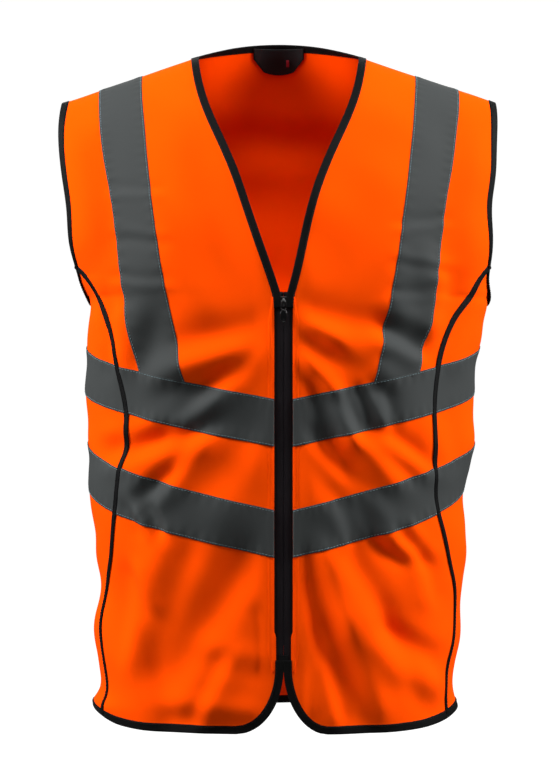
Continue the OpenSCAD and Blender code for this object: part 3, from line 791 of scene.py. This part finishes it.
def side_panel(name, s):
    """Rows from the armhole down to the hem, columns from the front to the back piping."""
    t = np.linspace(1, -1, 71)
    rim_v = 0.115 * np.abs(t) ** 1.3
    rim, _ = shell(edge_x(rim_v), rim_v, np.where(t > 0, FRONT, BACK))
    rim[:, 2] -= PANEL_LAP
    rim[:, 1] *= 1.06
    w = np.abs(t)[None, :]
    u_end = girth_u(piping_line(HEM_Z), HEM_Z)
    r = np.linspace(0, 1, 150)[:, None]
    z = mix(rim[None, :, 2], hem_line(mix(1, u_end, w)) + PANEL_LAP, r)
    z_end = mix(rim[0, 2], hem_line(u_end) + PANEL_LAP, r)
    seam, _ = shell(np.minimum(piping_line(z_end), edge_x(v_of(z_end)) - 1), v_of(z_end), FRONT)
    y = rim[None, :, 1] / np.abs(rim[0, 1]) * np.abs(seam[..., 1])
    x, v, side = side_place(y, z)
    p, n = cloth(s * x, v, side)
    piece = sheet_mesh(name, p, n, CLOTH_T, shell_knit, shell_inside_painted_shade)
    rides(piece, stands_for=[name])


# ---- reflective tapes

TAPE_T = 0.25
BODY_TAPE_LIFT = 1.1
SHOULDER_TAPE_LIFT = 0.75
ZIP_END_LIFT = 0.6
STITCH_IN = 1.7


def quilt(k, along):
    """A tape's lift: held down near both edges where it is sewn, with small puckers along them."""
    edge = np.minimum(k, 1 - k) * TAPE_W
    dent = -0.22 * bell((edge - STITCH_IN) / 1.3)
    pucker = 0.3 * bell((edge - 5) / 5) * np.sin(along * 2 * np.pi / 13 + 2 * np.sin(along / 31))
    return dent + pucker


def body_tape_place(tape, w, k, side):
    """x and v of a point w of the way to the piping and k of the way down a front or back tape."""
    z_mid = tape_top(tape, 0.5) - TAPE_W / 2
    x_try = mix(ZIP_HALF_W if side < 0 else 0, piping_line(z_mid), w)
    z = tape_top(tape, girth_u(x_try, z_mid)) - TAPE_W * k
    return mix(ZIP_HALF_W if side < 0 else 0, piping_line(z) - 1, w), v_of(z)


def stitched(name, rows, material, slot, **kind):
    """Rows of stitches as a piece of their own."""
    return rides(stitch_mesh(name, rows, material, **kind))


def edge_rows(place, w):
    """Points for the two rows of stitches inside a tape's long edges, w being the places along it."""
    rows = []
    for k in (STITCH_IN / TAPE_W, 1 - STITCH_IN / TAPE_W):
        x, v, side, lift = place(w, k)
        rows.append(cloth(x, v, side, lift + TAPE_T / 2))
    return rows


def front_tape(name, tape, s):
    """The tape on one front, from the zip to the piping."""

    def place(w, k):
        x, v = body_tape_place(tape, w, k, FRONT)
        over_edge = ZIP_END_LIFT * (1 - smooth((x - 14) / 6))
        return s * x, v, FRONT, BODY_TAPE_LIFT + over_edge + quilt(k, w * 190)

    tape_piece(name, place, np.linspace(0, 1, 90))


def back_tape(name, tape):
    """The tape on the back, from piping to piping."""

    def place(w, k):
        x, v = body_tape_place(tape, np.abs(w), k, BACK)
        return np.sign(w) * x, v, BACK, BODY_TAPE_LIFT + quilt(k, w * 190)

    tape_piece(name, place, np.linspace(-1, 1, 181))


def side_tape(name, tape, s):
    """The tape on one side panel, from the front to the back piping, highest under the arm."""

    def place(w, k):
        z_end = tape_top(tape, 0.6) - TAPE_W * k
        u = mix(1, girth_u(piping_line(z_end) + 1, z_end), np.abs(w))
        z = tape_top(tape, u) - TAPE_W * k
        return s * girth_x(u, z), v_of(z), np.where(w < 0, FRONT, BACK), BODY_TAPE_LIFT + quilt(k, w * 100)

    tape_piece(name, place, np.linspace(-1, 1, 101))


def shoulder_tape(name, s):
    """The tape over one shoulder; both its ends lie under the upper body tape."""

    def place(t, k):
        side = np.where(t < 0, FRONT, BACK)
        w = 1 - 2 * k
        half = TAPE_W / 2 * run_x(shoulder_x(-0.2), -0.2)
        z_low = tape_top(UPPER_TAPE, girth_u(shoulder_x(-0.2) + w * half, UPPER_TAPE[0])) - 6
        v = mix(1, (z_low + ARMPIT_DROP) / BODY_LEN, np.abs(t))
        tilt = SHOULDER_SLOPE * rise(v) * (v > 0)
        x = shoulder_x(v) + w * TAPE_W / 2 / np.sqrt(run_x(shoulder_x(v), v) ** -2 + tilt**2)
        return s * x, v, side, SHOULDER_TAPE_LIFT + quilt(k, t * 390)

    tape_piece(name, place, np.linspace(-1, 1, 281))


def tape_piece(name, place, w):
    """A tape from its place function, with its two rows of stitches."""
    k = np.concatenate([np.linspace(0, 0.1, 7), np.linspace(0.1, 0.9, 15)[1:-1], np.linspace(0.9, 1, 7)])
    x, v, side, lift = place(w[None, :], k[:, None])
    p, n = cloth(x, v, side, lift)
    piece = sheet_mesh(name, p, n, TAPE_T, tape_bead)
    rows = stitched(name + "_stitches", edge_rows(place, np.linspace(w[0], w[-1], 400)), tape_thread,
                    "reflective_tape")
    rides(piece, stands_for=[name])


# ---- bindings and piping


def folded_profile(outer, inner, thick):
    """A folded tape's section: a flat superellipse from outer (the fold) to inner (the sewn edges)."""
    a = angles(22)
    across = mix(outer, inner, (1 + power(np.cos(a), 0.5)) / 2)
    taper = mix(1.0, 0.72, (1 + np.cos(a)) / 2)
    return np.stack([across, thick / 2 * taper * power(np.sin(a), 0.5)], -1)


def binding(name, x, v, side, fold=0.6, sewn=-BINDING_W - 0.3, closed=False):
    """A folded binding on an edge, from its fold to its sewn edges, with one row of stitches."""
    profile = folded_profile(fold, sewn, 2.3)
    grid, _ = beside(x, v, side, profile[:, 0], profile[:, 1], closed)
    piece = strip_mesh(name, grid, binding_rib, closed)
    row, n = beside(x, v, side, mix(fold, sewn, 0.8), 1.0, closed)
    inside, _ = beside(x, v, side, mix(fold, sewn, 0.8), -1.0, closed)
    stitched(name + "_stitches", [(row[:, 0], n[:, 0]), (inside[:, 0], -n[:, 0])], black_thread,
             "binding_tape", wide=0.45)
    rides(piece, stands_for=[name])


NECK_BOW = 3.0


def both_sides(x, v, side):
    """Half a path and its mirror image as one, from the right to the left."""
    return (np.concatenate([-x[:-1], x[::-1]]), np.concatenate([v[:-1], v[::-1]]),
            np.concatenate([side[:-1], side[::-1]]))


def neck_line():
    """x, v and side along the neck's seam line, which starts beside the zip, bows out by NECK_BOW just
    above it, and runs round the back."""
    low = np.linspace(-NECK_LAP / BODY_LEN, 0, 12)[:-1]
    v = np.linspace(0, 1, 120)
    bow_low, bow = (NECK_BOW * bell((along - 22) / 36) for along in (low * BODY_LEN, v * 250))
    x = NECK_HALF_W * np.cos(np.linspace(0, np.pi / 2, 80))[1:]
    xs = np.concatenate([ZIP_HALF_W + bow_low, neck_x(v) + bow, x])
    sides = np.concatenate([np.full(low.size + v.size, FRONT), np.full(x.shape, BACK)])
    return both_sides(xs, np.concatenate([low, v, back_neck(x)]), sides)


def hem_path():
    """x, v and side along the hem's edge, from the right front's zip end round the back to the left's."""
    a = np.radians(np.linspace(0, 80, 40))
    z_lap = np.linspace(CORNER_TOP + HEM_LAP, CORNER_TOP, 8)[:-1]
    u1 = np.linspace(girth_u(CORNER_W, HEM_Z), 1, 90)
    u2 = np.linspace(0.985, 0, 100)
    xs = np.concatenate([np.full(z_lap.shape, 0.5), CORNER_W + 0.5 - CORNER_W * np.cos(a),
                         girth_x(u1, hem_line(u1)), girth_x(u2, hem_line(u2))])
    zs = np.concatenate([z_lap, CORNER_TOP - CORNER_H * np.sin(a), hem_line(u1), hem_line(u2)])
    return both_sides(xs, v_of(zs), np.where(np.arange(len(xs)) < len(xs) - len(u2), FRONT, BACK))


def piping(name, s, side):
    """The flat tape over a seam, narrower towards the hem, with a row of stitches near each edge."""
    top = z_of(PIPING_TOP_V + 0.02)
    foot = hem_line(girth_u(piping_line(HEM_Z), HEM_Z)) + 4
    z = np.linspace(top, foot, 150)
    wide = PIPING_W * mix(1.0, 0.9, smooth((-430 - z) / 150))[:, None]
    path = (s * piping_line(z), v_of(z), np.full(z.shape, side))
    profile = folded_profile(0.5, -0.5, 1.1)
    grid, _ = beside(*path, profile[:, 0] * wide, profile[:, 1] + 1.15)
    piece = strip_mesh(name, grid, piping_rib)
    rows, n = beside(*path, np.array([-0.34, 0.34]) * wide, 1.66)
    stitched(name + "_stitches", [(rows[:, 0], n[:, 0]), (rows[:, 1], n[:, 1])], black_thread,
             "binding_tape", wide=0.4)
    rides(piece, stands_for=[name])


def front_edge(name, s):
    """The front's edge turned under beside the zip: a folded strip of the shell fabric with one row of
    stitches, which runs from under the neck binding down to the hem binding."""
    v = np.linspace(-3 / BODY_LEN, (CORNER_TOP + ARMPIT_DROP - 6) / BODY_LEN, 160)
    path = (np.full(v.shape, s * ZIP_HALF_W), v, np.full(v.shape, FRONT))
    profile = folded_profile(0.0, 6.5, 1.5)
    wide = mix(0.3, 1.0, smooth((v[0] - v) * BODY_LEN / 30) * smooth((v - v[-1]) * BODY_LEN / 24))[:, None]
    grid, _ = beside(*path, s * profile[:, 0] * wide, profile[:, 1] + 0.15)
    piece = strip_mesh(name, grid, shell_knit, flip=s > 0)
    row, n = beside(*path, s * 2.4, 0.95)
    stitched(name + "_stitches", [(row[:, 0], n[:, 0])], orange_thread, "shell_fabric", wide=0.5)
    rides(piece)


# ---- zip

ZIP_TOP = -259.8
ZIP_FOOT = -650.6
ZIP_BACK = -133.1
ZIP_OUTER = 16.0
COIL_TOP, COIL_FOOT = -264.6, -628.6
COIL_PITCH = 1.5
COIL_MID = -132.0
COIL_R = 0.33


def zip_tape(name, s):
    """Half of the zip's woven tape: its edge rolls over the coil, and a shallow ridge shows in front."""
    x = np.concatenate([np.linspace(0.04, ZIP_HALF_W, 16), np.linspace(ZIP_HALF_W + 0.4, ZIP_OUTER, 6)])
    swell = 0.95 * np.sin(np.pi * np.clip(x / ZIP_HALF_W, 0, 1) ** 0.8) ** 0.8 * (x < ZIP_HALF_W)
    front = np.stack([x, ZIP_BACK - 0.75 - swell], -1)
    back = np.stack([x[::-1], np.full(x.shape, ZIP_BACK)], -1)
    section = np.concatenate([front, back])
    z = np.linspace(ZIP_TOP, ZIP_FOOT, 130)
    grid = xyz(s * section[:, 0], section[:, 1], z[:, None])
    piece = strip_mesh(name, grid, zip_weave, flip=s > 0)
    rides(piece, stands_for=[name])


def coil_tube(name, s):
    """One side's coil: a thread on a flat helix, whose section along the tape is an oval, and whose loops
    reach just past the middle line between those of the other side."""
    loops = (COIL_TOP - COIL_FOOT) / COIL_PITCH
    t = np.linspace(0, loops, int(loops) * 12)
    angle = 2 * np.pi * t
    mid = xyz(s * (1.45 + 1.65 * np.cos(angle)), COIL_MID + 0.62 * np.sin(angle),
              COIL_TOP - COIL_PITCH * (t + 0.25 * s))
    ahead = unit(np.gradient(mid, axis=0))
    out = unit(np.cross(ahead, np.array([0, 0, 1.0])))
    up = np.cross(out, ahead)
    piece = strip_mesh(name, rings(mid, COIL_R * out, COIL_R * up, 6), coil_nylon)
    rides(piece, stands_for=[name])


SLIDER_TOP = -264.6
SLIDER_H = 14.0
PLATE_FRONT, PLATE_BACK = -134.9, -130.2
PIVOT = np.array([0, -137.9, -269.1])
PULLER_LEN = 25.0
BAIL_R = 0.66


def slider_plate(name, y):
    """A shield-shaped plate with rounded edges: superellipse rings that shrink towards both faces."""
    rows, cols = 15, 40
    b = angles(cols)[None, :]
    a = np.linspace(-1.47, 1.47, rows)[:, None]
    ring = np.abs(np.cos(a)) ** 0.25
    x = (4.65 + 0.55 * np.cos(b)) * power(np.sin(b), 0.6) * ring
    z = SLIDER_TOP - SLIDER_H / 2 * (1 - power(np.cos(b), 0.6) * ring)
    grid = xyz(x, y + 0.68 * power(np.sin(a), 0.8), z)
    quads = grid_faces(rows, cols, wrap_cols=True)
    ends = [np.arange(cols)[::-1], (rows - 1) * cols + np.arange(cols)]
    rides(make_mesh(name, grid, quads, enamel, None, ends), "slider", ["slider_body"])


def slider_post():
    """The post between the plates, an upright oval, and the two flanges beside the teeth."""
    b = angles(16)[None, :]
    y = np.linspace(PLATE_FRONT, PLATE_BACK, 6)[:, None]
    grid = xyz(0.42 * np.cos(b), y, SLIDER_TOP - 2.1 + 1.9 * np.sin(b))
    rides(strip_mesh("slider_post", grid, enamel), "slider", ["slider_body"])
    for label, s in SIDES:
        z = np.linspace(SLIDER_TOP - 1.2, SLIDER_TOP - SLIDER_H + 1.2, 12)[:, None]
        x = s * (3.7 + 0.36 * power(np.cos(b), 0.5))
        grid = xyz(x, PLATE_BACK - 0.9 + 0.95 * power(np.sin(b), 0.5), z)
        flange = strip_mesh(f"slider_flange_{label}", grid, enamel, flip=s < 0)
        rides(flange, "slider", ["slider_body"])


def slider_crown():
    """The bridge that holds the puller: a flat oval carried along a low arch over the front plate."""
    t = np.linspace(0, 1, 40)
    y = PLATE_FRONT - 4.6 * np.sin(np.pi * t) ** 0.35
    path = xyz(0.0, y, mix(SLIDER_TOP - 1.1, PIVOT[2] - 7.2, t))
    ahead = unit(np.gradient(path, axis=0))
    across = np.broadcast_to([1.0, 0, 0], ahead.shape)
    grid = rings(path, 1.05 * across, 0.42 * unit(np.cross(across, ahead)), 16, 0.7)
    rides(strip_mesh("slider_crown", grid, enamel), "slider", ["slider_crown"])


def puller_bail():
    """The puller's upper loop: a round wire on a superellipse, whose top bar passes under the crown."""
    b = angles(60)
    loop = xyz(2.25 * power(np.sin(b), 0.5), 0.0, 5 * power(np.cos(b), 0.5))
    forward = np.broadcast_to([0, 1.0, 0], loop.shape)
    grid = rings(PIVOT + [0, 0, -5] + loop, BAIL_R * unit(loop), BAIL_R * forward, 12)
    rides(strip_mesh("puller_bail", grid, enamel, closed=True), "puller", ["puller"])


def puller_grip():
    """The puller's grip: a drop that narrows to its foot, thicker at its rim, with a round hole."""
    b = angles(72)
    tall = (PULLER_LEN - 9.2) / 2
    edge = xyz(4.3 * np.sin(b) * ((1.04 + np.cos(b)) / 2) ** 0.3, 0.0, -PULLER_LEN + tall + tall * np.cos(b))
    hole = np.array([0, 0, -PULLER_LEN + 4.0])
    rim = hole + 1.1 * unit(edge - hole)
    turn = angles(20)
    wide = (1 + power(np.cos(turn), 0.5)) / 2
    thick = 0.74 * power(np.sin(turn), 0.5) * (0.62 + 0.38 * smooth((wide - 0.5) / 0.4))
    grid = mix(rim[:, None], edge[:, None], wide[None, :, None])
    grid = grid + thick[None, :, None] * np.array([0, 1.0, 0]) + PIVOT
    rides(strip_mesh("puller_grip", grid, enamel, closed=True), "puller", ["puller"])


# ---- labels

LABEL_TOP, LABEL_SIDE, LABEL_FOOT = 22.0, 11.0, -2.4
LABEL_WIDE, LABEL_NARROW = 28.5, 17.0
LABEL_BOW = 3.0


def inside_back(x, z, lift):
    """Draped points on the inner face of the back at x and height z near the neck."""
    return cloth(x, arch_v(x, z), BACK, -lift)


def label_foot(x, inset=0.0, lift=0.0):
    """Height of the neck label's foot at x, or of a line inset from it: a bow, then the cut corners."""
    cut = np.clip((np.abs(x) - LABEL_NARROW + inset) / (LABEL_WIDE - LABEL_NARROW), 0, 1)
    bow = LABEL_BOW * (1 - (x / LABEL_NARROW) ** 2).clip(0)
    return mix(LABEL_FOOT + lift - bow, LABEL_SIDE + inset, cut)


def neck_label():
    """A woven label under the back neck: straight sides, cut corners and a foot that curves down."""
    r = np.linspace(0, 1, 31)[:, None]
    x = np.linspace(-1, 1, 61)[None, :] * LABEL_WIDE
    p, n = inside_back(x, mix(LABEL_TOP, label_foot(x), r), 1.5)
    piece = sheet_mesh("neck_label", p, -n, 0.5, label_weave)
    rim_x = np.concatenate([[-1, -1], np.linspace(-1, 1, 40), [1, 1]]) * (LABEL_WIDE - 1.3)
    rim_z = label_foot(rim_x, 1.0, 1.4)
    rim_z[:2], rim_z[-2:] = [LABEL_TOP - 2, LABEL_SIDE + 3], [LABEL_SIDE + 3, LABEL_TOP - 2]
    row, m = inside_back(rim_x, rim_z, 1.8)
    rows = stitched("neck_label_stitches", [(row, -m)], black_thread, "label_fabric", wide=0.5)
    rides(piece, stands_for=["neck_label"])


def size_tab():
    """A small woven tab, folded into a flat loop, sewn to the face of the neck label."""
    t = np.linspace(0, np.pi, 16)[:, None]
    x = np.linspace(9, 12, 6)[None, :]
    p, n = inside_back(x, 10.7 - 6.8 * np.sin(t), 2.75 - 0.45 * np.cos(t))
    rides(sheet_mesh("size_tab", p, -n, 0.3, size_weave), stands_for=["size_tab"])


def care_label():
    """A soft label inside the left side seam, sewn along its top, whose foot stands off the panel."""
    r = np.linspace(0, 1, 24)[:, None]
    y = np.linspace(12, 42, 16)[None, :]
    x, v, side = side_place(y, mix(-560, -615, r))
    p, n = cloth(x, v, side, -1.3 - 5 * r**2 + 0.5 * np.sin(y / 6) * r)
    piece = sheet_mesh("care_label", p, -n, 0.25, care_weave)
    rides(piece, stands_for=["care_label"])


# ---- build the cloth

for label, s in SIDES:
    front_panel(f"front_panel_{label}", s)
    side_panel(f"side_panel_{label}", s)
back_panel()
for level, tape in (("upper", UPPER_TAPE), ("lower", LOWER_TAPE)):
    for label, s in SIDES:
        front_tape(f"{level}_tape_front_{label}", tape, s)
        side_tape(f"{level}_tape_side_{label}", tape, s)
    back_tape(f"{level}_tape_back", tape)
for label, s in SIDES:
    shoulder_tape(f"shoulder_tape_{label}", s)
    front_edge(f"front_edge_{label}", s)
    zip_tape(f"zip_tape_{label}", s)
    coil_tube(f"zip_coil_{label}", s)
    piping(f"front_piping_{label}", s, FRONT)
    piping(f"back_piping_{label}", s, BACK)
    x, v, side = (a[:-1] for a in armhole_line(181))
    binding(f"armhole_binding_{label}", s * x[::int(s)], v[::int(s)], side[::int(s)], closed=True)
binding("neck_binding", *neck_line(), fold=-BINDING_W - 0.4, sewn=0.3)
binding("hem_binding", *hem_path())
slider_plate("slider_front", PLATE_FRONT)
slider_plate("slider_back", PLATE_BACK)
slider_post()
slider_crown()
puller_bail()
puller_grip()
neck_label()
size_tab()
care_label()

# ---- carried-over CAD nodes

for node, material in {
    "top_stop_left": enamel, "top_stop_right": enamel,
    "insertion_pin": moulded, "box_pin": moulded, "retainer_box": moulded,
    "end_film_left": film, "end_film_right": film,
}.items():  # fmt: skip
    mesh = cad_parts[node].data
    mesh.materials.clear()
    mesh.materials.append(material)

# ---- studio

FLOOR_Z = -1.0
WALL_Y = 9.0
WALL_BEND = 2.0


def glow(tree, seen, rest):
    """A strength of seen + rest for camera rays, and of rest for the light that falls on the vest."""
    ray = tree.nodes.new("ShaderNodeLightPath").outputs["Is Camera Ray"]
    return math(tree, "ADD", math(tree, "MULTIPLY", ray, seen), rest)


def make_stage():
    """A pale floor that curves up into a wall far behind."""
    bend = np.linspace(0, np.pi / 2, 16)[1:]
    y = np.concatenate([np.linspace(-WALL_Y, WALL_Y - WALL_BEND, 8), WALL_Y - WALL_BEND * (1 - np.sin(bend))])
    z = np.concatenate([np.zeros(8), WALL_BEND * (1 - np.cos(bend))])
    y, z = np.append(y, WALL_Y), np.append(z, WALL_Y) + FLOOR_Z
    x = np.array([-1.4 * WALL_Y, 1.4 * WALL_Y])
    grid = xyz(x, y[:, None], z[:, None])
    paper = bpy.data.materials.new("pale_paper")
    paper.use_nodes = True
    shader = paper.node_tree.nodes["Principled BSDF"]
    shader.inputs["Base Color"].default_value = (0.15, 0.15, 0.15, 1)
    shader.inputs["Roughness"].default_value = 0.9
    shader.inputs["Emission Color"].default_value = (1, 1, 1, 1)
    paper.node_tree.links.new(glow(paper.node_tree, 0.97, 0.03), shader.inputs["Emission Strength"])
    floor = make_mesh("studio_floor", grid / MM, grid_faces(len(y), 2), paper)


def area_light(name, place, size, watts, aim=(0, 0, -0.36)):
    """A soft box turned towards the vest."""
    data = bpy.data.lights.new(name, "AREA")
    data.shape = "RECTANGLE"
    data.size, data.size_y = size
    data.energy = watts
    lamp = bpy.data.objects.new(name, data)
    lamp.location = place
    lamp.rotation_euler = (Vector(aim) - Vector(place)).to_track_quat("-Z", "Y").to_euler()
    bpy.context.collection.objects.link(lamp)


make_stage()
area_light("left_box", (-1.7, -0.4, 0.75), (0.8, 1.2), 78, (0, 0, -0.1))
area_light("right_box", (1.7, -0.4, 0.75), (0.8, 1.2), 74, (0, 0, -0.1))
area_light("top_box", (0.0, -1.2, 2.0), (1.6, 0.9), 30, (0, 0, -0.05))
area_light("front_box", (0.1, -2.0, 1.1), (1.6, 1.0), 3.6, (0, 0, -0.1))
area_light("back_box", (0.0, 2.9, 1.6), (3.0, 1.6), 30)
world = bpy.data.worlds.new("studio")
world.use_nodes = True
background = world.node_tree.nodes["Background"].inputs
background["Color"].default_value = (1, 1, 1, 1)
world.node_tree.links.new(glow(world.node_tree, 0.98, 0.02), background["Strength"])
bpy.context.scene.world = world
bpy.context.scene.view_settings.view_transform = "Standard"
